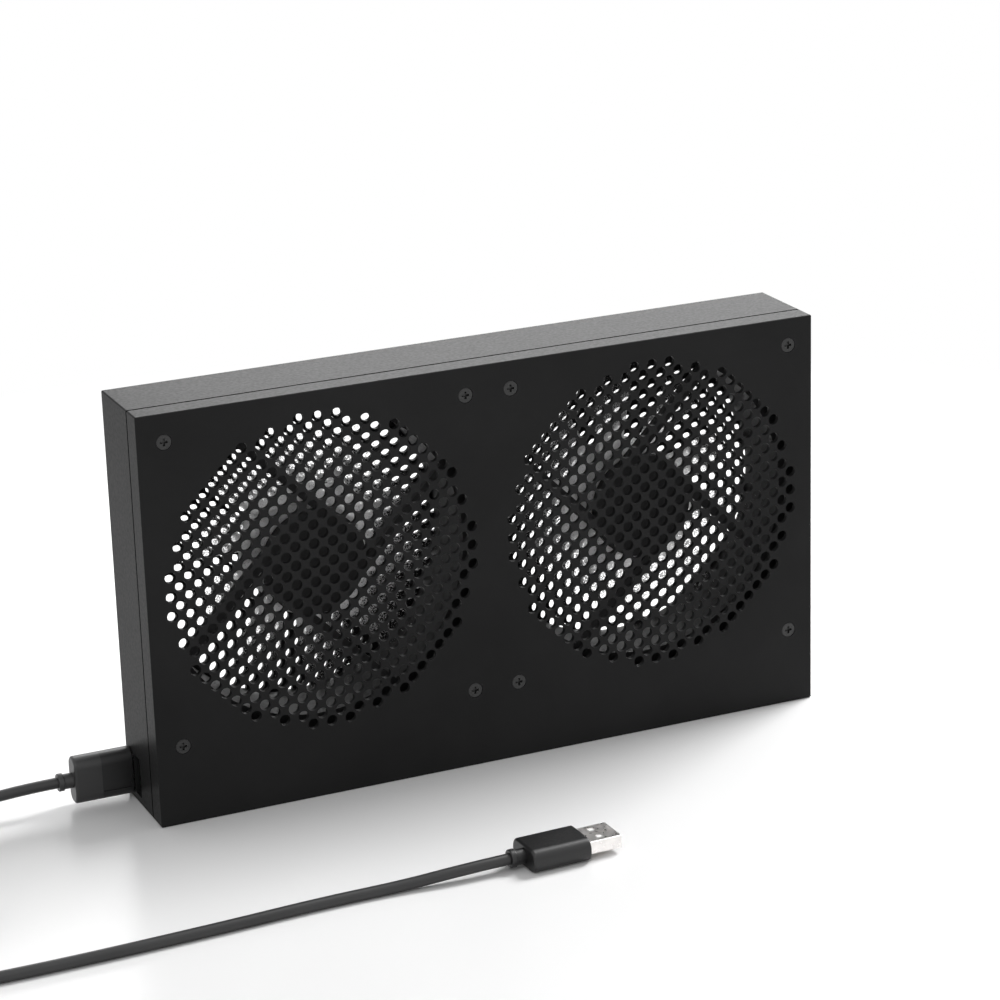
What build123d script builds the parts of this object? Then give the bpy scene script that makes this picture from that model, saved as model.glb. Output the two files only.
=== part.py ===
from build123d import *
import os
from math import copysign, cos, dist, hypot, pi, radians, sin, sqrt, tan

# Twin desktop cooling fan in a flat rectangular housing, fed by a lead with a plug at each end.
# Millimetres. X runs along the width, the grille faces -Y, Z is up.
# The origin is on the standing surface, under the middle of the housing.

# Housing
cover_depth = 8.8
front_plate = 1.8
back_plate = 1.6
wall = 1.6
edge_round = 0.5
seam_gap = 0.35
seam_depth = 0.5
panel_rebate = 0.8
panel_gap = 0.15

# Fans
fan_size = 120.0
fan_depth = 25.0
fan_between = 1.4
fan_side_gap = 0.1
fan_top_gap = 0.5
fan_corner_round = 5.0
fan_flange = 4.0
fan_screw_inset = 7.5
duct_inset = 4.5
duct_wall = 2.0
column_radius = 4.2

# Grille holes, on a square lattice turned by 45 degrees
hole_radius = 1.9
hole_half_pitch = 3.33
grille_margin = 0.3

# Motor base and struts
base_radius = 18.1
base_plate = 1.6
base_rim = 1.4
base_depth = 3.0
strut_offset = 15.4
strut_width = 3.7
strut_depth = 2.6
strut_count = 4
bearing_tube_radius = 5.2
bearing_tube_length = 16.9
tube_wall = 1.7
board_boss_radius = 7.0
board_boss_height = 0.5

# Rotor
hub_radius = 19.2
hub_wall = 2.3
hub_front_gap = 0.8
hub_back_gap = 2.0
hub_cap = 1.7
hub_round = 1.0
hub_boss_radius = 4.0
hub_boss_reach = 2.2
blade_count = 9
blade_tip_gap = 1.6
blade_root_chord = 16.0
blade_root_angle = 42.0
blade_tip_chord = 38.0
blade_tip_angle = 26.0
blade_sweep = 7.0
blade_root_thickness = 1.9
blade_tip_thickness = 1.2
blade_camber = 0.09
yoke_wall = 1.0
yoke_depth = 17.0
glue_gap = 0.05
magnet_thickness = 1.8
magnet_length = 11.0
magnet_inset = 0.6
shaft_radius = 1.5
shaft_clearance = 0.04
shaft_end_gap = 0.1
shaft_groove = 0.3
ring_thickness = 0.4
ring_width = 1.4
ring_slot = 0.8
ring_gap = 0.3
bushing_length = 13.0
bushing_inset = 0.6
thrust_pad_thickness = 0.5

# Stator
air_gap = 0.8
stator_core_length = 6.0
stator_height = 6.4
pole_count = 4
pole_width = 5.0
pole_shoe = 1.6
core_ring = 2.2
winding_side = 1.0
winding_end = 1.8
winding_gap = 0.1
motor_board_gap = 0.3
motor_board_thickness = 1.0

# Screws
screw_radius = 1.45
screw_length = 17.0
screw_tip_gap = 1.0
screw_clearance = 0.05
screw_head_radius = 2.5
screw_head_height = 1.5
screw_recess = 0.2
sunk_head_height = 0.8
counterbore_gap = 0.18
boss_wall = 1.4
cross_length = 2.6
cross_width = 0.8
cross_depth = 0.9

# Power board and its fittings
board_thickness = 1.6
board_height = 15.8
board_end = -44.0
board_foot = 2.4
board_top_gap = 1.7
board_mouth_gap = 0.4
board_edge_gap = 0.15
standoff_radius = 2.6
standoff_bore = 1.3
standoff_stub = 2.0
standoff_places = (-99.0, -68.0)
board_screw_radius = 1.25
board_screw_length = 6.0
board_screw_head_radius = 2.4
board_screw_head_height = 1.4
capacitor_radius = 3.15
capacitor_height = 7.0
capacitor_round = 0.4
capacitor_place = -86.0
fuse_size = (4.6, 1.9, 3.2)
fuse_place = -77.0
header_size = (5.6, 5.4, 5.8)
header_wall = 0.8
header_floor = 1.2
header_place = -53.0
header_heights = (13.4, 7.0)
lead_plug_length = 6.0
lead_plug_gap = 0.05

# Plugs with a flat metal shell and four contacts
plug_length = 20.5
plug_width = 16.4
plug_thickness = 7.8
plug_round = 3.4
plug_end_round = 0.9
plug_front_round = 0.5
plug_grip = 9.4
plug_panel_end = 1.0
plug_panel_depth = 0.4
plug_gap = 0.2
relief_length = 5.2
relief_radius = 2.6
collar_length = 2.0
collar_radius = 3.05
collar_round = 0.4
shell_width = 12.0
shell_thickness = 4.5
shell_sheet = 0.3
shell_round = 0.45
shell_seam = 0.14
shell_length = 11.75
shell_root = 3.0
window_size = 2.2
window_offset = 2.9
window_from_tip = 6.4
insert_step = 0.1
insert_tip_gap = 0.3
insert_back = 2.0
contact_width = 1.0
contact_thickness = 0.15
contact_places = (-3.5, -1.0, 1.0, 3.5)
contact_tip_gap = 1.0

# Sockets for such a plug, standing on edge, one on each side of the board
socket_drop = 0.5
socket_fit_wide = 0.25
socket_fit_thick = 0.31
socket_sheet = 0.3
socket_recess = 1.0
socket_back = 4.0
socket_tip_gap = 0.55
tongue_gap = 0.1
tongue_side_gap = 0.15
tongue_inset = 0.9
tongue_tip = 0.6
slot_gap_high = 0.45
slot_gap_wide = 0.14

# Lead
cord_diameter = 3.8
coil_centre = (-221.0, -58.0)
coil_mid_diameter = 42.0
coil_pitch = 4.35
coil_start_angle = 150.0
coil_turns = 5.0 + 30.0 / 360.0
coil_arc_pairs_per_turn = 4
coil_climb_turns = 0.5
supply_plug_place = (-8.2, -99.9)
supply_plug_yaw = 2.0
input_bend = (-174.5, (-201.5, 7.6, 4.6))
input_run = 32.0
supply_run = 13.0
supply_run_in = 16.0
supply_points = [(-239.0, -91.0, 3.2), (-219.0, -102.2, 1.9), (-181.0, -103.0, 1.9),
                 (-133.0, -101.6, 1.9), (-97.0, -99.4, 1.9), (-70.0, -99.6, 1.9)]

# Fan leads, two wires side by side, from the motor board to the power board
wire_radius = 0.65
wire_pitch = 1.4
wire_lift = 0.1
wire_start = 8.3
wire_exit = 2.5
lead_groove_gap = 0.3
lead_groove_floor = 1.3
left_lead_points = [(-19.8, -4.5, 11.5), (-26.5, 1.5, 7.5)]
right_lead_points = [(10.0, -4.0, 10.5), (-8.0, 1.0, 6.0)]
left_lead_run = 9.2
right_lead_run = 16.2

# Levels and centres that follow from the sizes above
fan_foot = board_foot + board_height + board_top_gap
body_width = 2 * (fan_size + fan_side_gap + wall) + fan_between
body_height = fan_foot + fan_size + fan_top_gap + wall
depth = cover_depth + fan_depth + back_plate
side = body_width / 2
front = -depth / 2
back = depth / 2
seam = front + cover_depth
fan_back = seam + fan_depth
fan_x = (fan_size + fan_between) / 2
fan_z = fan_foot + fan_size / 2
screw_reach = fan_size / 2 - fan_screw_inset
duct_radius = fan_size / 2 - duct_inset - duct_wall
grille_radius = duct_radius + grille_margin
screw_hole_radius = screw_radius + screw_clearance
counterbore_radius = screw_head_radius + counterbore_gap
hub_start = seam + base_depth + hub_front_gap
hub_end = fan_back - hub_back_gap
hub_inner = hub_radius - hub_wall
yoke_outer = hub_inner - glue_gap
magnet_outer = yoke_outer - yoke_wall - glue_gap
stator_radius = magnet_outer - magnet_thickness - air_gap
stator_levels = (seam + stator_height, seam + stator_height + stator_core_length)
tube_end = seam + base_plate + bearing_tube_length
bushing_radius = bearing_tube_radius - tube_wall
bushing_end = tube_end - bushing_inset
bushing_start = bushing_end - bushing_length
ring_level = bushing_start - ring_gap - ring_thickness
shaft_end = hub_end - hub_cap / 2
socket_width = shell_width + 2 * (socket_fit_wide + socket_sheet)
socket_thickness = shell_thickness + 2 * (socket_fit_thick + socket_sheet)
socket_mouth = -side + wall + socket_recess
socket_length = shell_length - plug_gap - wall - socket_recess + socket_tip_gap + socket_back
board_back = fan_back - board_edge_gap - socket_thickness
board_front = board_back - board_thickness
board_middle = board_foot + board_height / 2
socket_height = board_middle - socket_drop
rear_socket_y = board_back + socket_thickness / 2
front_socket_y = board_front - socket_thickness / 2
insert_thick = shell_thickness / 2 - shell_sheet
insert_wide = shell_width / 2 - shell_sheet
contact_top = contact_thickness - insert_step
tongue_levels = (contact_top + tongue_gap, insert_thick - tongue_gap)
tongue_reach = insert_wide - tongue_side_gap
cord_radius = cord_diameter / 2
lead_groove = wire_pitch + 2 * wire_radius + lead_groove_gap
lead_turn = 135.0


def block(x, y, z):
    """A box between the given limits."""
    size = [b - a for a, b in (x, y, z)]
    middle = [(a + b) / 2 for a, b in (x, y, z)]
    return Pos(*middle) * Box(*size)


def rod(radius, y, x=0.0, z=0.0):
    """A cylinder along Y between two levels."""
    return Pos(x, (y[0] + y[1]) / 2, z) * Rot(90, 0, 0) * Cylinder(radius, y[1] - y[0])


def ring(outer, inner, y, x=0.0, z=0.0):
    """A round tube along Y between two levels."""
    return rod(outer, y, x, z) - rod(inner, y, x, z)


def about(middle, size):
    """The limits of a size centred on a place."""
    return middle - size / 2, middle + size / 2


def turned(count, shape):
    """Copies of a shape, evenly spaced round the fan's axis."""
    return [Rot(0, 360 * k / count, 0) * shape for k in range(count)]


def both_fans(shape):
    """The left fan's piece in its place, and its mirror image in the right fan."""
    return Pos(-fan_x, 0, fan_z) * shape, Pos(fan_x, 0, fan_z) * mirror(shape, Plane.YZ)


def screw_places():
    """The eight screw centres of the two fans."""
    return [(fx + sx * screw_reach, fan_z + sz * screw_reach)
            for fx in (-fan_x, fan_x) for sx in (-1, 1) for sz in (-1, 1)]


def grille_holes(y, start=0):
    """Rods through a plate at every grille hole. Start 0 puts a hole on each fan's axis, and 1 beside it."""
    reach = int(grille_radius / hole_half_pitch)
    steps = range(-reach, reach + 1)
    cells = [(i, j) for i in steps for j in steps if (i + j) % 2 == start]
    inside = [(i, j) for i, j in cells if hole_half_pitch * hypot(i, j) <= grille_radius]
    return [rod(hole_radius, y, fx + i * hole_half_pitch, fan_z + j * hole_half_pitch)
            for fx in (-fan_x, fan_x) for i, j in inside]


# Housing
def front_cover():
    """Tray with the front grille, its side walls and a screw boss at each fan corner."""
    outer = block((-side, side), (front, seam), (0, body_height))
    outer = fillet([e for e in outer.edges() if e.center().Y < seam - edge_round], edge_round)
    cover = outer - block((-side + wall, side - wall), (front + front_plate, seam), (wall, body_height - wall))
    boss = counterbore_radius + boss_wall
    boss_start = front + front_plate / 2
    seat = front + screw_recess + screw_head_height
    cover += [rod(boss, (boss_start, seam), x, z) for x, z in screw_places()]
    cover -= [rod(screw_hole_radius, (front, seam), x, z) for x, z in screw_places()]
    cover -= [rod(counterbore_radius, (front, seat), x, z) for x, z in screw_places()]
    return cover - grille_holes((front, front + front_plate))


def rear_case():
    """Four-sided case behind the cover, with a slot in its left wall for each socket."""
    outer = block((-side, side), (seam, back), (0, body_height))
    outer = fillet([e for e in outer.edges() if e.center().Y > seam + edge_round], edge_round)
    case = outer - block((-side + wall, side - wall), (seam, back), (wall, body_height - wall))
    rim = wall - panel_rebate
    case -= block((-side + rim, side - rim), (fan_back, back), (rim, body_height - rim))
    reveal = block((-side, side), (seam, seam + seam_gap), (0, body_height))
    reveal -= block((-side + seam_depth, side - seam_depth), (seam, seam + seam_gap),
                    (seam_depth, body_height - seam_depth))
    case -= reveal
    for y in (front_socket_y, rear_socket_y):
        case -= block((-side, -side + wall), about(y, socket_thickness + 2 * slot_gap_wide),
                      about(socket_height, socket_width + 2 * slot_gap_high))
    return case


def back_panel():
    """Flat rear grille in the rebate of the case."""
    reach = side - wall + panel_rebate - panel_gap
    low = wall - panel_rebate + panel_gap
    panel = block((-reach, reach), (fan_back, back), (low, body_height - low))
    panel -= [rod(screw_hole_radius, (fan_back, back), x, z) for x, z in screw_places()]
    panel -= [rod(counterbore_radius, (back - sunk_head_height, back), x, z) for x, z in screw_places()]
    panel -= [rod(standoff_stub, (fan_back, back), x, board_middle) for x in standoff_places]
    return panel - grille_holes((fan_back, back), start=1)


def cross_screw(head_radius, head_height, shank_radius, length):
    """A screw along +Y with its head's face at Y 0 and a cross recess."""
    screw = rod(head_radius, (0, head_height)) + rod(shank_radius, (0, head_height + length))
    screw -= block(about(0, cross_length), (0, cross_depth), about(0, cross_width))
    return screw - block(about(0, cross_width), (0, cross_depth), about(0, cross_length))


def front_screws():
    """Eight long screws through the cover's bosses into the fan frames."""
    screw = cross_screw(screw_head_radius, screw_head_height, screw_radius, screw_length)
    return [Pos(x, front + screw_recess, z) * screw for x, z in screw_places()]


def back_screws():
    """Eight short screws through the rear grille into the fan frames."""
    other_tip = front + screw_recess + screw_head_height + screw_length
    length = back - sunk_head_height - other_tip - screw_tip_gap
    screw = cross_screw(screw_head_radius, sunk_head_height, screw_radius, length)
    return [Pos(x, back, z) * Rot(0, 0, 180) * screw for x, z in screw_places()]


# Fans, made for the left fan round its own axis
def strut_bar(x, y, start, end, turn):
    """A bar beside the hub, turned about the fan's axis."""
    return Rot(0, turn, 0) * block(x, y, (start, end))


def fan_frame():
    """Square frame with a round duct, screw columns, struts and the motor base."""
    plate = Rot(90, 0, 0) * extrude(RectangleRounded(fan_size, fan_size, fan_corner_round), fan_flange)
    corners = [(sx * screw_reach, sz * screw_reach) for sx in (-1, 1) for sz in (-1, 1)]
    base = (seam, seam + base_plate)
    frame = Pos(0, seam + fan_flange, 0) * plate
    frame += Pos(0, fan_back, 0) * plate
    frame += rod(duct_radius + duct_wall, (seam, fan_back))
    frame += [rod(column_radius, (seam, fan_back), x, z) for x, z in corners]
    frame -= rod(duct_radius, (seam, fan_back))
    frame -= [rod(screw_hole_radius, (seam, fan_back), x, z) for x, z in corners]
    frame += rod(base_radius, (seam, seam + base_depth))
    reach = sqrt((duct_radius + duct_wall / 2) ** 2 - strut_offset ** 2)
    for k in range(strut_count):
        turn = lead_turn + 360 * k / strut_count
        frame += strut_bar(about(strut_offset, strut_width), (seam, seam + strut_depth), 0, reach, turn)
    frame -= rod(base_radius - base_rim, (base[1], seam + base_depth))
    frame += rod(board_boss_radius, (seam, base[1] + board_boss_height))
    frame += rod(bearing_tube_radius, (seam, tube_end))
    frame -= rod(bushing_radius, (base[1], tube_end))
    groove = (seam + lead_groove_floor, seam + fan_flange + wire_lift)
    groove_start = wire_start - wire_radius
    return frame - strut_bar(about(strut_offset, lead_groove), groove, groove_start, fan_size, lead_turn)


def blade_section(radius, chord, angle, thickness, shift):
    """A thin cambered section on a flat plane at one radius."""
    plane = Plane(origin=(radius, (hub_start + hub_end) / 2, shift), x_dir=(0, 1, 0), z_dir=(1, 0, 0))
    lean = radians(angle)
    half = chord / 2
    edge = thickness / 6
    rise = chord * blade_camber

    def point(along, out):
        return plane.from_local_coords((along * sin(lean) - out * cos(lean),
                                        along * cos(lean) + out * sin(lean), 0))
    top = ThreePointArc(point(-half, edge), point(0, rise + thickness / 2), point(half, edge))
    low = ThreePointArc(point(half, -edge), point(0, rise - thickness / 2), point(-half, -edge))
    return make_face([top, Line(point(half, edge), point(half, -edge)), low,
                      Line(point(-half, -edge), point(-half, edge))])


def impeller():
    """Hub cup with its shaft boss and the swept blades."""
    tip = duct_radius - blade_tip_gap
    sections = []
    for share in (0.0, 0.5, 1.0):
        radius = hub_inner - hub_wall + (tip + 2 * hub_wall - hub_inner) * share
        chord = blade_root_chord + (blade_tip_chord - blade_root_chord) * share
        angle = blade_root_angle + (blade_tip_angle - blade_root_angle) * share
        thick = blade_root_thickness + (blade_tip_thickness - blade_root_thickness) * share
        sections.append(blade_section(radius, chord, angle, thick, blade_sweep * (share - 0.35)))
    blade = loft(sections) & ring(tip, hub_radius - hub_wall / 2, (hub_start, hub_end))
    hub = rod(hub_radius, (hub_start, hub_end)) - rod(hub_inner, (hub_start, hub_end - hub_cap))
    rim = [e for e in hub.edges().filter_by(GeomType.CIRCLE)
           if e.center().Y > hub_end - hub_cap / 2 and e.radius > hub_inner]
    hub = fillet(rim, hub_round)
    hub += turned(blade_count, blade)
    hub += rod(hub_boss_radius, (hub_end - hub_cap - hub_boss_reach, hub_end))
    return hub - rod(shaft_radius, (hub_start, shaft_end))


def rotor_yoke():
    """Steel cup inside the hub."""
    end = hub_end - hub_cap
    start = end - yoke_depth
    cup = rod(yoke_outer, (start, end))
    cup -= rod(yoke_outer - yoke_wall, (start, end - yoke_wall))
    return cup - rod(hub_boss_radius + glue_gap, (end - yoke_wall, end))


def rotor_magnet():
    """Ring magnet inside the yoke."""
    start = hub_end - hub_cap - yoke_depth + magnet_inset
    return ring(magnet_outer, magnet_outer - magnet_thickness, (start, start + magnet_length))


def rotor_shaft():
    """Steel shaft pressed into the hub, with a groove for its ring."""
    start = seam + base_plate + thrust_pad_thickness + shaft_end_gap
    groove = ring(shaft_radius, shaft_radius - shaft_groove, (ring_level, ring_level + ring_thickness))
    return rod(shaft_radius, (start, shaft_end)) - groove


def retaining_ring():
    """Split ring in the shaft's groove."""
    levels = (ring_level, ring_level + ring_thickness)
    clip = ring(shaft_radius + ring_width, shaft_radius - shaft_groove, levels)
    return clip - block(about(0, ring_slot), levels, (0, shaft_radius + ring_width))


def bushing():
    """Sleeve bearing in the tube of the motor base."""
    return ring(bushing_radius, shaft_radius + shaft_clearance, (bushing_start, bushing_end))


def thrust_pad():
    """Disc under the end of the shaft."""
    level = seam + base_plate
    return rod(bushing_radius, (level, level + thrust_pad_thickness))


def motor_board():
    """Ring-shaped circuit board in the motor base."""
    level = seam + base_plate + board_boss_height
    radius = base_radius - base_rim - motor_board_gap
    return ring(radius, bearing_tube_radius, (level, level + motor_board_thickness))


def stator_core():
    """Laminated core with its poles and their curved shoes."""
    levels = stator_levels
    pole = block((0, stator_radius - pole_shoe / 2), levels, about(0, pole_width))
    shoe = ring(stator_radius, stator_radius - pole_shoe, levels)
    shoe = shoe & block((0, stator_radius), levels, about(0, 2 * pole_width))
    core = rod(bearing_tube_radius + core_ring, levels)
    core += turned(pole_count, pole)
    core += turned(pole_count, shoe)
    return core - rod(bearing_tube_radius, levels)


def stator_windings():
    """A copper coil round each pole."""
    half_slot = pole_width / 2 + winding_gap
    half_coil = half_slot + winding_side
    start = bearing_tube_radius + core_ring + winding_gap
    end = sqrt((stator_radius - pole_shoe) ** 2 - half_coil ** 2) - winding_gap
    slot = (stator_levels[0] - winding_gap, stator_levels[1] + winding_gap)
    coil = block((start, end), (slot[0] - winding_end, slot[1] + winding_end), (-half_coil, half_coil))
    coil -= block((start, end), slot, (-half_slot, half_slot))
    return turned(pole_count, coil)


# Power board and sockets
def power_board():
    """Circuit board standing on edge below the fans, between the two sockets."""
    levels = (board_front, board_back)
    board = block((socket_mouth + board_mouth_gap, board_end), levels, (board_foot, board_foot + board_height))
    return board - [rod(screw_hole_radius, levels, x, board_middle) for x in standoff_places]


def board_standoffs():
    """Two threaded pillars between the rear grille and the power board."""
    pillars = []
    for x in standoff_places:
        pillar = rod(standoff_radius, (board_back, fan_back), x, board_middle)
        pillar += rod(standoff_stub, (board_back, back), x, board_middle)
        pillars.append(pillar - rod(standoff_bore, (board_back, back), x, board_middle))
    return pillars


def board_screws():
    """Two screws that hold the power board on its pillars."""
    height = board_screw_head_height
    screw = cross_screw(board_screw_head_radius, height, board_screw_radius, board_screw_length)
    return [Pos(x, board_front - height, board_middle) * screw for x in standoff_places]


def board_capacitor():
    """Smoothing capacitor on the front of the power board."""
    can = rod(capacitor_radius, (board_front - capacitor_height, board_front), capacitor_place, board_middle)
    return fillet(can.edges().filter_by(GeomType.CIRCLE).sort_by(Axis.Y)[0], capacitor_round)


def board_fuse():
    """Resettable fuse on the front of the power board."""
    sx, sy, sz = fuse_size
    return block(about(fuse_place, sx), (board_front - sy, board_front), about(board_middle, sz))


def fan_headers():
    """Two open-ended headers on the power board, one for each fan."""
    sx, sy, sz = header_size
    x = about(header_place, sx)
    y = (board_front - sy, board_front)
    headers = []
    for height in header_heights:
        pocket = block((x[0] + header_floor, x[1]), (y[0] + header_wall, y[1] - header_wall),
                       about(height, sz - 2 * header_wall))
        headers.append(block(x, y, about(height, sz)) - pocket)
    return headers


def lead_plugs():
    """The plug on the end of each fan's lead, in its header."""
    sx, sy, sz = header_size
    trim = 2 * (header_wall + lead_plug_gap)
    x = (header_place - sx / 2 + header_floor + lead_plug_gap, lead_plug_end())
    return [block(x, about(board_front - sy / 2, sy - trim), about(height, sz - trim))
            for height in header_heights]


def lead_plug_end():
    """Where the wires enter the plugs of the fan leads."""
    return header_place + header_size[0] / 2 + lead_plug_length


def socket_strips():
    """The four contact strips on the tongue's face."""
    level = tongue_levels[0]
    return [block((tongue_inset + tongue_tip, socket_length - socket_back), (level, level + contact_thickness),
                  about(z, contact_width)) for z in contact_places]


def socket_shell():
    """Thin metal tube round the socket."""
    x = (0, socket_length)
    trim = 2 * socket_sheet
    shell = block(x, about(0, socket_thickness), about(0, socket_width))
    return shell - block(x, about(0, socket_thickness - trim), about(0, socket_width - trim))


def socket_tongue():
    """Insulating block at the back of the socket, with its tongue."""
    start = socket_length - socket_back
    tongue = block((start, socket_length), about(0, socket_thickness - 2 * socket_sheet),
                   about(0, socket_width - 2 * socket_sheet))
    tongue += block((tongue_inset, start), tongue_levels, (-tongue_reach, tongue_reach))
    return tongue - socket_strips()


def in_socket_place(y, piece):
    """A socket piece in its place on one side of the board. Both sockets have the tongue toward the grille."""
    return Pos(socket_mouth, y, socket_height) * mirror(piece, Plane.XZ)


# Plugs, made along +X with the step between grip and metal shell at X 0
def plug_body():
    """Moulded grip with a sunk panel on one wide side, and its strain relief with a collar."""
    grip = block((-plug_length, 0), about(0, plug_thickness), about(0, plug_width))
    grip = fillet(grip.edges().filter_by(Axis.X), plug_round)
    grip = fillet(grip.faces().sort_by(Axis.X)[0].edges(), plug_end_round)
    grip = fillet(grip.faces().sort_by(Axis.X)[-1].edges(), plug_front_round)
    panel = (-plug_length + plug_grip, -plug_panel_end)
    face = plug_thickness / 2
    grip -= block(panel, (face - plug_panel_depth, face), about(0, plug_width - 2 * plug_round))
    end = -plug_length - relief_length
    grip += Pos(-plug_length - relief_length / 2, 0, 0) * Rot(0, 90, 0) * Cylinder(relief_radius, relief_length)
    collar = Pos(end + collar_length / 2, 0, 0) * Rot(0, 90, 0) * Cylinder(collar_radius, collar_length)
    grip += fillet(collar.edges().filter_by(GeomType.CIRCLE), collar_round)
    return grip - block((-shell_root, 0), about(0, shell_thickness), about(0, shell_width))


def plug_shell():
    """Flat metal tube of the plug, with two windows in each wide side and a seam on the insulator's side."""
    x = (-shell_root, shell_length)
    shell = block(x, about(0, shell_thickness), about(0, shell_width))
    shell = fillet(shell.edges().filter_by(Axis.X), shell_round)
    shell -= block(x, (-insert_thick, insert_thick), (-insert_wide, insert_wide))
    windows = about(shell_length - window_from_tip, window_size)
    for z in (-window_offset, window_offset):
        shell -= block(windows, about(0, shell_thickness), about(z, window_size))
    face = -shell_thickness / 2
    return shell - block((0, shell_length), (face, face + shell_sheet / 2), about(0, shell_seam))


def plug_insert():
    """Insulator that fills half of the metal shell and carries the contacts."""
    wide = (-insert_wide, insert_wide)
    insert = block((-shell_root, shell_length - insert_tip_gap), (-insert_thick, -insert_step), wide)
    return insert + block((-shell_root, -shell_root + insert_back), (-insert_thick, insert_thick), wide)


def plug_contacts():
    """The four contact strips of a plug."""
    x = (-shell_root + insert_back, shell_length - insert_tip_gap - contact_tip_gap)
    return [block(x, (-insert_step, contact_top), about(z, contact_width)) for z in contact_places]


# Tubes that follow a route
def turn_radii(points):
    """The fillet radius at each inner point of a route."""
    radii = []
    for a, b, c in zip(points, points[1:], points[2:]):
        before = Vector(*b) - Vector(*a)
        after = Vector(*c) - Vector(*b)
        turn = before.get_angle(after)
        radii.append(0.45 * min(before.length, after.length) / tan(radians(turn / 2)))
    return radii


def swept(name, path, radius):
    """A round tube along a path. Its volume is printed beside its section times its length."""
    section = Plane(path @ 0, z_dir=path % 0) * Circle(radius)
    solid = sweep(section, path=path)
    expected = pi * radius ** 2 * path.length
    print(f"{name}: length {path.length:.1f}, volume {solid.volume:.1f}, section x length {expected:.1f}")
    return solid


def routed_tube(name, points, radius):
    """A tube along straight runs joined by tangent arcs."""
    radii = turn_radii(points)
    print(f"{name}: radii", ", ".join(f"{r:.1f}" for r in radii))
    return swept(name, FilletPolyline(*points, radius=radii), radius)


def beside(points, step):
    """A route moved sideways in the upright plane."""
    moved = []
    for before, point, after in zip(points[:1] + points, points, points[1:] + points[-1:]):
        dx = after[0] - before[0]
        dz = after[2] - before[2]
        size = hypot(dx, dz)
        moved.append((point[0] + step * dz / size, point[1], point[2] - step * dx / size))
    return moved


def fan_lead(name, hand, points, run, height):
    """Two wires from the motor board along a strut, out of the frame and to the power board."""
    level = seam + lead_groove_floor + wire_radius + wire_lift
    turn = radians(lead_turn)
    along = (wire_start, fan_size / 2 * sqrt(2) - strut_offset + wire_exit)
    groove = [(hand * (strut_offset * cos(turn) + a * sin(turn) - fan_x), level,
               a * cos(turn) - strut_offset * sin(turn) + fan_z) for a in along]
    entry = (lead_plug_end(), board_front - header_size[1] / 2, height)
    route = groove + points + [(entry[0] + run, entry[1], entry[2]), entry]
    return [routed_tube(f"{name} wire", beside(route, k * wire_pitch / 2), wire_radius) for k in (-1, 1)]


# Lead
def coil_point(turn):
    """Centre line of the coil after a number of turns, and its direction there."""
    half = coil_turns / 2
    bow = coil_climb_turns / 2
    off = turn - half
    in_climb = abs(off) <= bow
    away = (off * off + bow * bow) / (2 * bow) if in_climb else abs(off)
    slope = off / bow if in_climb else copysign(1, off)
    radius = coil_mid_diameter / 2 + coil_pitch * (away - half / 2)
    share = min(max((off + bow) / (2 * bow), 0.0), 1.0)
    rise = coil_pitch * (3 * share ** 2 - 2 * share ** 3)
    climb = coil_pitch * 6 * share * (1 - share) / (2 * bow)
    angle = radians(coil_start_angle) + 2 * pi * turn
    point = Vector(coil_centre[0] + radius * cos(angle), coil_centre[1] + radius * sin(angle),
                   cord_radius + rise)
    out = coil_pitch * slope / (2 * pi)
    direction = Vector(out * cos(angle) - radius * sin(angle), out * sin(angle) + radius * cos(angle),
                       climb / (2 * pi))
    return point, direction.normalized()


def biarc(start, start_way, end, end_way):
    """Two arcs with equal tangent lengths between two points with given directions."""
    chord = end - start
    a = 2 * (1 - start_way.dot(end_way))
    b = 2 * chord.dot(start_way + end_way)
    reach = (sqrt(b * b + 4 * a * chord.dot(chord)) - b) / (2 * a)
    corner = start + start_way * reach
    other = end - end_way * reach
    joint = (corner + other) * 0.5
    joint_way = (other - corner).normalized()
    return [Edge.make_tangent_arc(start, start_way, joint), Edge.make_tangent_arc(joint, joint_way, end)]


def coil_path():
    """The coil's centre line, with a straight end before and after its turns."""
    steps = round(coil_turns * coil_arc_pairs_per_turn)
    stations = [coil_point(coil_turns * k / steps) for k in range(steps + 1)]
    first, first_way = stations[0]
    last, last_way = stations[-1]
    edges = [Edge.make_line(first - first_way * cord_diameter, first)]
    for (start, start_way), (end, end_way) in zip(stations, stations[1:]):
        edges += biarc(start, start_way, end, end_way)
    edges.append(Edge.make_line(last, last + last_way * cord_diameter))
    return Wire(edges)


def coil_gap(path, count=1200):
    """Least gap between two turns of the coil, measured on points of its centre line."""
    points = [tuple(path @ (k / count)) for k in range(count + 1)]
    apart = round(count * pi * cord_diameter / path.length)
    least = min(dist(p, q) for i, p in enumerate(points) for q in points[i + apart:])
    return least - cord_diameter


def input_route(coil_wire):
    """From the plug in the housing to the coil, resting on the surface at its end."""
    exit_point = (-side - plug_gap - plug_length - relief_length, rear_socket_y, socket_height)
    bend_x, low_point = input_bend
    coil_in = coil_wire @ 0
    last = coil_in - (coil_wire % 0) * input_run
    bend = (bend_x, rear_socket_y, socket_height)
    return [exit_point, bend, low_point, tuple(last), tuple(coil_in)]


def supply_route(coil_wire):
    """From the coil along the surface to the free plug."""
    coil_out = coil_wire @ 1
    first = coil_out + (coil_wire % 1) * supply_run
    yaw = radians(supply_plug_yaw)
    away = (-cos(yaw), -sin(yaw))
    reach = plug_length + relief_length
    last = [(supply_plug_place[0] + away[0] * r, supply_plug_place[1] + away[1] * r, plug_thickness / 2)
            for r in (reach + supply_run_in, reach)]
    return [tuple(coil_out), tuple(first)] + supply_points + last


parts = {}


def add(name, shape):
    """Keeps a piece, or a group of like pieces, under its name."""
    parts[name] = Compound(list(shape)) if isinstance(shape, list) else shape
    parts[name].label = name


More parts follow.
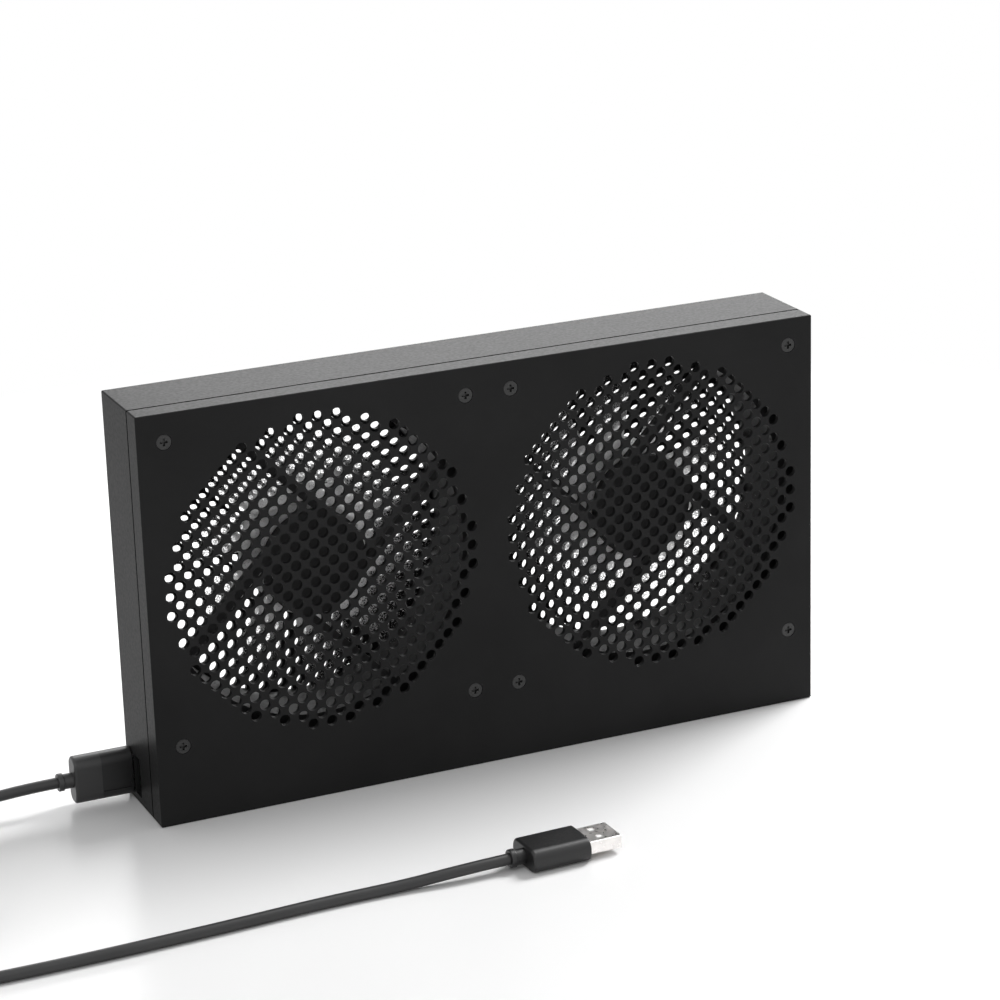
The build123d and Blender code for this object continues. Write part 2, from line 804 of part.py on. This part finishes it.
def add_fans(name, shape):
    """Keeps a piece of the left fan, and its mirror image in the right fan."""
    if isinstance(shape, list):
        pairs = [both_fans(s) for s in shape]
        left = [pair[0] for pair in pairs]
        right = [pair[1] for pair in pairs]
    else:
        left, right = both_fans(shape)
    add(f"{name}_left", left)
    add(f"{name}_right", right)


def add_placed(name, place, shape):
    """Keeps a piece, or a group of like pieces, moved to a place."""
    add(name, [place * s for s in shape] if isinstance(shape, list) else place * shape)


add("front_cover", front_cover())
add("rear_case", rear_case())
add("back_panel", back_panel())
add("front_screws", front_screws())
add("back_screws", back_screws())

for make in (fan_frame, impeller, rotor_yoke, rotor_magnet, rotor_shaft, retaining_ring, bushing,
             thrust_pad, motor_board, stator_core, stator_windings):
    add_fans(make.__name__, make())
add("fan_lead_left", fan_lead("fan_lead_left", 1, left_lead_points, left_lead_run, header_heights[0]))
add("fan_lead_right", fan_lead("fan_lead_right", -1, right_lead_points, right_lead_run, header_heights[1]))

for make in (power_board, board_standoffs, board_screws, board_capacitor, board_fuse, fan_headers, lead_plugs):
    add(make.__name__, make())
for socket, y in (("input_socket", rear_socket_y), ("spare_socket", front_socket_y)):
    add(f"{socket}_shell", in_socket_place(y, socket_shell()))
    add(f"{socket}_tongue", in_socket_place(y, socket_tongue()))
    add(f"{socket}_contacts", [in_socket_place(y, strip) for strip in socket_strips()])

input_place = Pos(-side - plug_gap, rear_socket_y, socket_height) * Rot(180, 0, 0)
supply_place = Pos(*supply_plug_place, plug_thickness / 2) * Rot(0, 0, supply_plug_yaw) * Rot(-90, 0, 0)
for make in (plug_body, plug_shell, plug_insert, plug_contacts):
    add_placed(f"input_{make.__name__}", input_place, make())
    add_placed(f"supply_{make.__name__}", supply_place, make())

coil_wire = coil_path()
add("cord_coil", swept("cord_coil", coil_wire, cord_radius))
print(f"cord_coil: least gap between turns {coil_gap(coil_wire):.2f}")
add("input_cord", routed_tube("input_cord", input_route(coil_wire), cord_radius))
add("supply_cord", routed_tube("supply_cord", supply_route(coil_wire), cord_radius))

os.makedirs("parts", exist_ok=True)
for name, shape in parts.items():
    export_step(shape, f"parts/{name}.step")
print(len(parts), "nodes")
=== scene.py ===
import bpy
from math import copysign, cos, pi, radians, sin
from mathutils import Matrix, Vector

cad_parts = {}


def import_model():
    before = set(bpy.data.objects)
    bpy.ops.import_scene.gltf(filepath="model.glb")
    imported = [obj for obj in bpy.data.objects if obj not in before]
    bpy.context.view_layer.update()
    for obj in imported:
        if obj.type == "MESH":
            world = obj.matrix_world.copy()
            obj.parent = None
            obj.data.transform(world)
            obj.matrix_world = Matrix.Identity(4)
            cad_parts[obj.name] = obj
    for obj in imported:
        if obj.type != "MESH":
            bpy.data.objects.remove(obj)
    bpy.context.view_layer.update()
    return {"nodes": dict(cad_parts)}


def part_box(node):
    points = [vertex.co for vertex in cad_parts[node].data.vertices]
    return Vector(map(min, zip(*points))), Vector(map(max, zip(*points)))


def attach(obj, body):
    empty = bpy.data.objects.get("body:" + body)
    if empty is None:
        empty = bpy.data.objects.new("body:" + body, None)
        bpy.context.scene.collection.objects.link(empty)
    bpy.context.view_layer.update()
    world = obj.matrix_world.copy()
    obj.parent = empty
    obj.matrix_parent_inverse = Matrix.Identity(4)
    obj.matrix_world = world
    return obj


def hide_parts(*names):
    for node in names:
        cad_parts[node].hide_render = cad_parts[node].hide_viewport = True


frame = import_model()

MM = 0.001
nodes = frame["nodes"]

# Camera
CAMERA_PLACE = Vector((-417.8, -984.1, 447.0)) * MM
CAMERA_RIGHT = Vector((0.9125, -0.4080, -0.0291))
CAMERA_UP = Vector((0.1548, 0.2787, 0.9478))
LENS = 119.1
SENSOR = 36.0
CLIP = (0.01, 50.0)

# Lead, in millimetres, with the same route as its solids. CORD_LENGTH is in metres
CORD_DIAMETER = 3.8
COIL_CENTRE = (-221.0, -58.0)
COIL_MID_DIAMETER = 42.0
COIL_PITCH = 4.35
COIL_START_ANGLE = 150.0
COIL_TURNS = 5.0 + 30.0 / 360.0
COIL_CLIMB_TURNS = 0.5
COIL_POINTS_PER_TURN = 18
INPUT_POINTS = [(-148.3, 13.09, 9.8), (-174.5, 13.09, 9.8), (-201.5, 7.6, 4.6)]
INPUT_RUN = 32.0
SUPPLY_RUN = 13.0
SUPPLY_POINTS = [(-239.0, -91.0, 3.2), (-219.0, -102.2, 1.9), (-181.0, -103.0, 1.9), (-133.0, -101.6, 1.9),
                 (-97.0, -99.4, 1.9), (-70.0, -99.6, 1.9)]
SUPPLY_PLUG = Vector((-8.2, -99.9, 3.9))
SUPPLY_YAW = radians(2.0)
PLUG_REACH = 25.7
SUPPLY_RUN_IN = 16.0
CORD_SIDES = 8
CORD_STEPS = 10

# Light: the sky's level for matte surfaces, and each lamp's name, place, target, size and power
WHITE = (1, 1, 1)
SKY_LIGHT = (0.54, 0.54, 0.54)
LAMPS = [
    ("key_lamp", (0.9, 0.23, 1.0), (0, 0, 0), (0.5, 0.5), 19),
    ("back_lamp", (1.05, 1.5, 0.75), (0, 0, 0.1), (1.6, 0.9), 17),
    ("front_lamp", (-0.4, -0.8, 0.9), (-0.05, 0, 0.1), (0.6, 0.6), 1.6),
]

# Floor, in metres: half its side, how far it is below the object, and where it fades to plain white
FLOOR_HALF = 6.0
FLOOR_DROP = 0.00005
FLOOR_FADE = (0.25, 0.5)
FLOOR_COLOR = (0.86, 0.86, 0.86)
FLOOR_ROUGH = 0.3
FLOOR_SPECULAR = 0.3

# Painted shade along the joint of the housing's two halves: its place and width, in millimetres on the Y axis
SEAM_PLACE = -8.75
SEAM_SHADE_WIDTH = 0.9

# Paint and moulded plastic: scale of the patches, how far gloss varies, and the lean that counts as an edge
PATCH_SCALE = 28
PATCH_DETAIL = 3.0
GLOSS_SWING = 0.05
EDGE_LEAN = (0.75, 0.98)
EDGE_SAMPLES = 4

# Brushed metal: scale of the lines and of the stain, the stain's share of the colour, and how far gloss varies
LINE_SCALE = 60
STAIN_SCALE = 160
STAIN_SHARE = 0.82
BRUSHED_SWING = (-0.08, 0.1)

# Stacked sheets and windings, and the circuit board: scales and gloss
WAVE_PERIOD = 20 / (2 * pi)
LAYER_WOBBLE = 0.4
LAYER_NOISE = 300
LAYER_SWING = 0.06
LAYER_DEPTH = 0.05
TRACK_SCALE = 260
TRACK_WIDTH = 0.06
TRACK_DEPTH = 0.03
BOARD_NOISE = 400
BOARD_ROUGH = (0.28, 0.4)

# Plug grips. The grip in the housing is painted a lighter tone, as where light falls, except on its sunk panel,
# PLUG_PANEL millimetres long, next to the wall, which keeps the dark tone of the free grip
PLUG_PANEL = 11.1
GRIP_DARK = (0.008, 0.008, 0.0084)
GRIP_PAINTED_LIGHT = (0.03, 0.03, 0.0305)

# Impeller plastic. Each share holds between the two distances from the fan's axis, in metres, named FROM
SPECKLE_SCALE = 1900
SPECKLE_DEPTH = 0.05
SPECKLE_SWING = 0.1
SPECKLE_BORDER = (0.4, 0.6)
SPECKLE_DARK = 0.45
MILKY_SHARE = (0.0, 0.95)
MILKY_FROM = (0.0193, 0.0197)
MOTTLED_FROM = (0.022, 0.030)
CLEAR_LEAST = 0.18
CLEAR_BORDER = (0.5, 0.58)
CLEAR_SHARE = (-0.1, 0.08)
CLEAR_FROM = (0.021, 0.030)
CLEAR_SHARE_TIP = (0.0, 0.2)
CLEAR_FROM_TIP = (0.034, 0.05)


def camera():
    """The camera at the photograph's place, looking straight ahead."""
    data = bpy.data.cameras.new("camera")
    data.lens = LENS
    data.sensor_width = SENSOR
    data.clip_start, data.clip_end = CLIP
    view = bpy.data.objects.new("camera", data)
    bpy.context.scene.collection.objects.link(view)
    right = CAMERA_RIGHT.normalized()
    back = right.cross(CAMERA_UP).normalized()
    up = back.cross(right)
    view.matrix_world = Matrix.Translation(CAMERA_PLACE) @ Matrix((right, up, back)).transposed().to_4x4()
    bpy.context.scene.camera = view


def coil_point(turn):
    """Centre line of the coil after a number of turns, in millimetres, and its direction there."""
    half = COIL_TURNS / 2
    bow = COIL_CLIMB_TURNS / 2
    off = turn - half
    in_climb = abs(off) <= bow
    away = (off * off + bow * bow) / (2 * bow) if in_climb else abs(off)
    slope = off / bow if in_climb else copysign(1, off)
    radius = COIL_MID_DIAMETER / 2 + COIL_PITCH * (away - half / 2)
    share = min(max((off + bow) / (2 * bow), 0.0), 1.0)
    rise = COIL_PITCH * (3 * share ** 2 - 2 * share ** 3)
    angle = radians(COIL_START_ANGLE) + 2 * pi * turn
    out = COIL_PITCH * slope / (2 * pi)
    place = Vector((COIL_CENTRE[0] + radius * cos(angle), COIL_CENTRE[1] + radius * sin(angle),
                    CORD_DIAMETER / 2 + rise))
    way = Vector((out * cos(angle) - radius * sin(angle), out * sin(angle) + radius * cos(angle), 0))
    return place, way.normalized()


def cord_route():
    """Every point of the lead, from the plug in the housing to the free plug."""
    steps = round(COIL_TURNS * COIL_POINTS_PER_TURN)
    coil = [coil_point(COIL_TURNS * k / steps) for k in range(steps + 1)]
    coil_in = coil[0][0] - coil[0][1] * CORD_DIAMETER
    coil_out = coil[-1][0] + coil[-1][1] * CORD_DIAMETER
    yaw = Vector((cos(SUPPLY_YAW), sin(SUPPLY_YAW), 0))
    relief_end = SUPPLY_PLUG - yaw * PLUG_REACH
    route = [Vector(p) for p in INPUT_POINTS]
    route += [coil_in - coil[0][1] * INPUT_RUN, coil_in]
    route += [place for place, way in coil]
    route += [coil_out, coil_out + coil[-1][1] * SUPPLY_RUN]
    route += [Vector(p) for p in SUPPLY_POINTS]
    route += [relief_end - yaw * SUPPLY_RUN_IN, relief_end]
    return [p * MM for p in route]


def lead():
    """The lead as one smooth round curve between its two plugs."""
    data = bpy.data.curves.new("lead", "CURVE")
    data.dimensions = "3D"
    data.bevel_depth = 1.0
    data.bevel_resolution = CORD_SIDES
    data.use_fill_caps = True
    points = cord_route()
    spline = data.splines.new("NURBS")
    spline.points.add(len(points) - 1)
    for point, place in zip(spline.points, points):
        point.co = (*place, 1)
        point.radius = CORD_DIAMETER / 2 * MM
    spline.order_u = 3
    spline.use_endpoint_u = True
    spline.resolution_u = CORD_STEPS
    spline.use_smooth = True
    cord = bpy.data.objects.new("lead", data)
    bpy.context.scene.collection.objects.link(cord)
    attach(cord, "lead")
    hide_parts("input_cord", "cord_coil", "supply_cord")
    cord.data.materials.append(rubber("cord_black_look", (0.025, 0.025, 0.0255), 0.36, grain=1400, depth=0.010))
    return cord


# Material building blocks
def link(tree, source, target):
    tree.links.new(source, target)


def math(tree, operation, *values):
    """A sum, product or the like of sockets and plain numbers."""
    step = tree.nodes.new("ShaderNodeMath")
    step.operation = operation
    for value, socket in zip(values, step.inputs):
        if hasattr(value, "is_output"):
            link(tree, value, socket)
        else:
            socket.default_value = value
    return step.outputs["Value"]


def new_material(name):
    """An empty material with its shader and an object-space coordinate."""
    look = bpy.data.materials.new(name)
    look.use_nodes = True
    tree = look.node_tree
    shader = tree.nodes["Principled BSDF"]
    place = tree.nodes.new("ShaderNodeTexCoord").outputs["Object"]
    return look, tree, shader, place


def noise(tree, place, scale, detail=2.0, stretch=None):
    """A noise texture on the object's own coordinate, drawn out along an axis where asked."""
    if stretch:
        mapping = tree.nodes.new("ShaderNodeMapping")
        mapping.inputs["Scale"].default_value = stretch
        link(tree, place, mapping.inputs["Vector"])
        place = mapping.outputs["Vector"]
    texture = tree.nodes.new("ShaderNodeTexNoise")
    texture.inputs["Scale"].default_value = scale
    texture.inputs["Detail"].default_value = detail
    link(tree, place, texture.inputs["Vector"])
    return texture.outputs["Fac"]


def along(tree, place, axis):
    """One axis of a coordinate."""
    split = tree.nodes.new("ShaderNodeSeparateXYZ")
    link(tree, place, split.inputs["Vector"])
    return split.outputs[axis]


def spread(tree, value, low, high, start=0.3, end=0.7):
    """A value between start and end, mapped to the range from low to high."""
    remap = tree.nodes.new("ShaderNodeMapRange")
    remap.inputs["From Min"].default_value = start
    remap.inputs["From Max"].default_value = end
    remap.inputs["To Min"].default_value = low
    remap.inputs["To Max"].default_value = high
    link(tree, value, remap.inputs["Value"])
    return remap.outputs["Result"]


def blend_colors(tree, factor, first, second):
    """A colour between two others, each a socket or a plain colour."""
    mix = tree.nodes.new("ShaderNodeMix")
    mix.data_type = "RGBA"
    link(tree, factor, mix.inputs["Factor"])
    for value, socket in ((first, mix.inputs["A"]), (second, mix.inputs["B"])):
        if hasattr(value, "is_output"):
            link(tree, value, socket)
        else:
            socket.default_value = (*value, 1)
    return mix.outputs["Result"]


def bump(tree, shader, height, depth):
    """Adds a fine relief, given in millimetres, to a shader."""
    relief = tree.nodes.new("ShaderNodeBump")
    relief.inputs["Strength"].default_value = 1.0
    relief.inputs["Distance"].default_value = depth * MM
    link(tree, height, relief.inputs["Height"])
    link(tree, relief.outputs["Normal"], shader.inputs["Normal"])


def edge_mask(tree, width):
    """One near sharp edges and zero on flats, from how far a rounded normal leans."""
    rounded = tree.nodes.new("ShaderNodeBevel")
    rounded.samples = EDGE_SAMPLES
    rounded.inputs["Radius"].default_value = width * MM
    plain = tree.nodes.new("ShaderNodeNewGeometry")
    dot = tree.nodes.new("ShaderNodeVectorMath")
    dot.operation = "DOT_PRODUCT"
    link(tree, rounded.outputs["Normal"], dot.inputs[0])
    link(tree, plain.outputs["True Normal"], dot.inputs[1])
    return spread(tree, dot.outputs["Value"], 1.0, 0.0, *EDGE_LEAN)


def painted(name, color, rough, grain=900, depth=0.012, worn=None, wear_width=0.35, specular=0.5, mottle=0.12,
            front=None, seam_shade=False):
    """Matte paint or moulded plastic: fine grain, patches of shade, varied gloss, edges a little worn.
    Front gives a second tone, used as a painted lighter tone where light falls, and the X level, in metres,
    below which it holds. The seam flag paints a black, fully rough stripe of shade along the joint of the two
    housing halves."""
    look, tree, shader, place = new_material(name)
    fine = noise(tree, place, grain, 3.0)
    broad = noise(tree, place, PATCH_SCALE, PATCH_DETAIL)
    lighter = tuple(c * (1 + mottle) for c in color)
    darker = tuple(c * (1 - mottle) for c in color)
    tone = blend_colors(tree, spread(tree, broad, 0, 1), darker, lighter)
    if front:
        tone = blend_colors(tree, math(tree, "LESS_THAN", along(tree, place, "X"), front[1]), tone, front[0])
    if worn:
        tone = blend_colors(tree, edge_mask(tree, wear_width), tone, worn)
    gloss = spread(tree, fine, rough - GLOSS_SWING, rough + GLOSS_SWING)
    # A black, fully rough stripe of painted shade along the joint of the housing halves
    if seam_shade:
        off = math(tree, "ABSOLUTE", math(tree, "SUBTRACT", along(tree, place, "Y"), SEAM_PLACE * MM))
        seam_shade_mask = math(tree, "LESS_THAN", off, SEAM_SHADE_WIDTH / 2 * MM)
        tone = blend_colors(tree, seam_shade_mask, tone, (0.0, 0.0, 0.0))
        gloss = math(tree, "MAXIMUM", gloss, seam_shade_mask)
    link(tree, tone, shader.inputs["Base Color"])
    link(tree, gloss, shader.inputs["Roughness"])
    shader.inputs["Specular IOR Level"].default_value = specular
    bump(tree, shader, fine, depth)
    return look


def rubber(name, color, rough, grain=1400, depth=0.01):
    """A soft jacket with a very fine grain and faint smudges."""
    return painted(name, color, rough, grain=grain, depth=depth, specular=0.45, mottle=0.2)


def brushed(name, color, rough, stretch, depth=0.004):
    """Bare metal with fine lines along one direction and a faint stain."""
    look, tree, shader, place = new_material(name)
    lines = noise(tree, place, LINE_SCALE, 4.0, stretch=stretch)
    stain = noise(tree, place, STAIN_SCALE)
    dim = tuple(c * STAIN_SHARE for c in color)
    link(tree, blend_colors(tree, spread(tree, stain, 0, 1), dim, color), shader.inputs["Base Color"])
    least, most = (rough + swing for swing in BRUSHED_SWING)
    link(tree, spread(tree, lines, least, most), shader.inputs["Roughness"])
    shader.inputs["Metallic"].default_value = 1.0
    bump(tree, shader, lines, depth)
    return look


def emission(tree, tone):
    """A plain glowing surface."""
    glow = tree.nodes.new("ShaderNodeEmission")
    glow.inputs["Color"].default_value = (*tone, 1)
    return glow.outputs["Emission"]


def mix_shaders(tree, factor, first, second):
    """One surface that fades into another."""
    mix = tree.nodes.new("ShaderNodeMixShader")
    link(tree, factor, mix.inputs["Fac"])
    link(tree, first, mix.inputs[1])
    link(tree, second, mix.inputs[2])
    return mix.outputs["Shader"]


def from_fan_axis(tree, place):
    """How far a place is from the axis of the nearer fan, in metres."""
    low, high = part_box("rotor_shaft_right")
    axis = (low + high) / 2
    aside = math(tree, "SUBTRACT", math(tree, "ABSOLUTE", along(tree, place, "X")), axis.x)
    above = math(tree, "SUBTRACT", along(tree, place, "Z"), axis.z)
    return math(tree, "SQRT", math(tree, "ADD", math(tree, "MULTIPLY", aside, aside),
                                   math(tree, "MULTIPLY", above, above)))


def frosted(name, color, rough):
    """Frosted clear plastic: milky round the hub, speckled further out and clear toward the blade tips."""
    look, tree, shader, place = new_material(name)
    radius = from_fan_axis(tree, place)
    speckle = noise(tree, place, SPECKLE_SCALE)
    dim = tuple(c * SPECKLE_DARK for c in color)
    mottled = blend_colors(tree, spread(tree, speckle, 0, 1, *SPECKLE_BORDER), dim, color)
    tone = blend_colors(tree, spread(tree, radius, 0, 1, *MOTTLED_FROM), color, mottled)
    link(tree, tone, shader.inputs["Base Color"])
    link(tree, spread(tree, speckle, rough - SPECKLE_SWING, rough + SPECKLE_SWING), shader.inputs["Roughness"])
    bump(tree, shader, speckle, SPECKLE_DEPTH)
    through = tree.nodes.new("ShaderNodeBsdfTranslucent")
    link(tree, tone, through.inputs["Color"])
    milky = mix_shaders(tree, spread(tree, radius, *MILKY_SHARE, *MILKY_FROM), shader.outputs["BSDF"],
                        through.outputs["BSDF"])
    open_share = math(tree, "ADD", spread(tree, radius, *CLEAR_SHARE, *CLEAR_FROM),
                      spread(tree, radius, *CLEAR_SHARE_TIP, *CLEAR_FROM_TIP))
    clear = spread(tree, math(tree, "ADD", speckle, open_share), CLEAR_LEAST, 1.0, *CLEAR_BORDER)
    gap = tree.nodes.new("ShaderNodeBsdfTransparent")
    surface = mix_shaders(tree, clear, milky, gap.outputs["BSDF"])
    link(tree, surface, tree.nodes["Material Output"].inputs["Surface"])
    return look


def layered(name, color, gap_color, pitch, axis, rough, metallic):
    """Stacked sheets or wound wire: fine bands across one axis."""
    look, tree, shader, place = new_material(name)
    bands = tree.nodes.new("ShaderNodeTexWave")
    bands.wave_type = "BANDS"
    bands.bands_direction = axis
    bands.inputs["Scale"].default_value = 1 / (pitch * MM * WAVE_PERIOD)
    bands.inputs["Distortion"].default_value = LAYER_WOBBLE
    link(tree, place, bands.inputs["Vector"])
    link(tree, blend_colors(tree, bands.outputs["Fac"], gap_color, color), shader.inputs["Base Color"])
    shader.inputs["Metallic"].default_value = metallic
    gloss = spread(tree, noise(tree, place, LAYER_NOISE), rough - LAYER_SWING, rough + LAYER_SWING)
    link(tree, gloss, shader.inputs["Roughness"])
    bump(tree, shader, bands.outputs["Fac"], LAYER_DEPTH)
    return look


def circuit(name, color, track):
    """Solder mask over copper tracks that show as a slightly lighter pattern."""
    look, tree, shader, place = new_material(name)
    cells = tree.nodes.new("ShaderNodeTexBrick")
    cells.inputs["Scale"].default_value = TRACK_SCALE
    cells.inputs["Mortar Size"].default_value = TRACK_WIDTH
    cells.inputs["Color1"].default_value = (0, 0, 0, 1)
    cells.inputs["Color2"].default_value = (0, 0, 0, 1)
    cells.inputs["Mortar"].default_value = (1, 1, 1, 1)
    turn = tree.nodes.new("ShaderNodeMapping")
    turn.inputs["Rotation"].default_value = (radians(90), 0, 0)
    link(tree, place, turn.inputs["Vector"])
    link(tree, turn.outputs["Vector"], cells.inputs["Vector"])
    link(tree, blend_colors(tree, cells.outputs["Color"], color, track), shader.inputs["Base Color"])
    link(tree, spread(tree, noise(tree, place, BOARD_NOISE), *BOARD_ROUGH), shader.inputs["Roughness"])
    bump(tree, shader, cells.outputs["Color"], TRACK_DEPTH)
    return look


def dress(names, look):
    """Puts a material on CAD nodes."""
    for name in names:
        mesh = nodes[name].data
        mesh.materials.clear()
        mesh.materials.append(look)


def dress_all():
    """Every node's finish."""
    def both(*names):
        return [f"{name}_{hand}" for name in names for hand in ("left", "right")]

    def each_plug(part):
        return [f"input_plug_{part}", f"supply_plug_{part}"]

    # Housing: black paint, with a stripe of painted shade along the joint of its halves
    dress(["front_cover", "rear_case", "back_panel", "board_standoffs"],
          painted("housing_look", (0.017, 0.017, 0.0172), 0.4, worn=(0.03, 0.03, 0.031), specular=0.05,
                  seam_shade=True))
    dress(["front_screws", "back_screws"],
          painted("screw_look", (0.009, 0.009, 0.009), 0.45, grain=700, worn=(0.03, 0.03, 0.03),
                  wear_width=0.15))
    dress(both("fan_frame"),
          painted("frame_look", (0.018, 0.018, 0.0183), 0.55, grain=600, depth=0.02, specular=0.3))
    dress(both("impeller"), frosted("impeller_look", (0.95, 0.95, 0.95), 0.45))
    dress(both("rotor_yoke", "rotor_shaft") + ["board_screws"],
          brushed("steel_look", (0.56, 0.56, 0.55), 0.3, (1, 12, 1)))
    dress(both("rotor_magnet"), painted("magnet_look", (0.06, 0.055, 0.05), 0.6, grain=900, depth=0.03))
    dress(both("bushing"), painted("bronze_look", (0.42, 0.27, 0.11), 0.42, grain=1600, depth=0.03))
    dress(both("thrust_pad", "retaining_ring"), painted("pad_look", (0.6, 0.6, 0.57), 0.4))
    dress(both("motor_board") + ["power_board"],
          circuit("board_look", (0.012, 0.07, 0.03), (0.03, 0.14, 0.06)))
    dress(both("stator_core"),
          layered("core_look", (0.42, 0.43, 0.45), (0.12, 0.12, 0.13), 0.5, "Y", 0.4, 1.0))
    dress(both("stator_windings"),
          layered("winding_look", (0.62, 0.24, 0.09), (0.2, 0.06, 0.02), 0.35, "Y", 0.3, 0.8))
    dress(both("fan_lead"), rubber("wire_look", (0.014, 0.014, 0.014), 0.4))
    dress(["input_socket_contacts", "spare_socket_contacts"] + each_plug("contacts"),
          brushed("gold_look", (0.75, 0.5, 0.2), 0.28, (12, 1, 1)))
    dress(["board_capacitor"], painted("can_look", (0.05, 0.05, 0.09), 0.35, worn=(0.3, 0.3, 0.3)))
    dress(["board_fuse"], painted("fuse_look", (0.3, 0.16, 0.03), 0.4))
    dress(["fan_headers", "lead_plugs"] + each_plug("insert"),
          painted("white_plastic_look", (0.85, 0.85, 0.84), 0.42, grain=500, mottle=0.04))
    # The sockets' tongue and shell are black plastic and black plating darkened further, with little gloss:
    # painted shade inside the slot
    dress(["input_socket_tongue", "spare_socket_tongue"],
          painted("socket_look", (0.006, 0.006, 0.006), 0.5, specular=0.1))
    dress(["input_socket_shell", "spare_socket_shell"],
          painted("socket_shell_look", (0.006, 0.006, 0.006), 0.5, specular=0.1))
    dress(each_plug("shell"), brushed("nickel_look", (0.95, 0.92, 0.9), 0.32, (10, 14, 14), depth=0.001))
    # The grip's part away from the wall gets a painted lighter tone, as where light falls
    panel_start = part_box("input_plug_body")[1].x - PLUG_PANEL * MM
    dress(["input_plug_body"],
          painted("grip_look", GRIP_DARK, 0.4, grain=1200, depth=0.018, front=(GRIP_PAINTED_LIGHT, panel_start)))
    dress(["supply_plug_body"], painted("free_grip_look", GRIP_DARK, 0.38, grain=1200, depth=0.018))


# Surroundings
def backdrop():
    """A white floor that keeps the shadow near the object and meets the white background."""
    half = FLOOR_HALF
    corners = [(-half, -half, 0), (half, -half, 0), (half, half, 0), (-half, half, 0)]
    data = bpy.data.meshes.new("floor")
    data.from_pydata(corners, [], [(0, 1, 2, 3)])
    floor = bpy.data.objects.new("floor", data)
    floor.location.z = -FLOOR_DROP
    bpy.context.scene.collection.objects.link(floor)
    look, tree, shader, place = new_material("floor_look")
    shader.inputs["Base Color"].default_value = (*FLOOR_COLOR, 1)
    shader.inputs["Roughness"].default_value = FLOOR_ROUGH
    shader.inputs["Specular IOR Level"].default_value = FLOOR_SPECULAR
    away = tree.nodes.new("ShaderNodeVectorMath")
    away.operation = "LENGTH"
    link(tree, place, away.inputs[0])
    far = spread(tree, away.outputs["Value"], 0, 1, *FLOOR_FADE)
    seen = mix_shaders(tree, far, shader.outputs["BSDF"], emission(tree, WHITE))
    link(tree, seen, tree.nodes["Material Output"].inputs["Surface"])
    data.materials.append(look)


def world():
    """White where the camera, metal and glass see it, and an even light for matte surfaces."""
    sky = bpy.data.worlds.new("studio")
    bpy.context.scene.world = sky
    sky.use_nodes = True
    tree = sky.node_tree
    path = tree.nodes.new("ShaderNodeLightPath")
    seen = math(tree, "MAXIMUM", path.outputs["Is Camera Ray"],
                math(tree, "MAXIMUM", path.outputs["Is Glossy Ray"], path.outputs["Is Transmission Ray"]))
    tone = blend_colors(tree, seen, SKY_LIGHT, WHITE)
    link(tree, tone, tree.nodes["Background"].inputs["Color"])


def area_lamp(name, place, target, size, power):
    """A soft square lamp that faces a point."""
    data = bpy.data.lights.new(name, "AREA")
    data.shape = "RECTANGLE"
    data.size, data.size_y = size
    data.energy = power
    lamp = bpy.data.objects.new(name, data)
    lamp.location = place
    aim = Vector(target) - Vector(place)
    lamp.rotation_euler = aim.to_track_quat("-Z", "Y").to_euler()
    bpy.context.scene.collection.objects.link(lamp)


bpy.context.scene.view_settings.view_transform = "Standard"
camera()
lead()
dress_all()
backdrop()
world()
for lamp in LAMPS:
    area_lamp(*lamp)

bpy.context.view_layer.update()
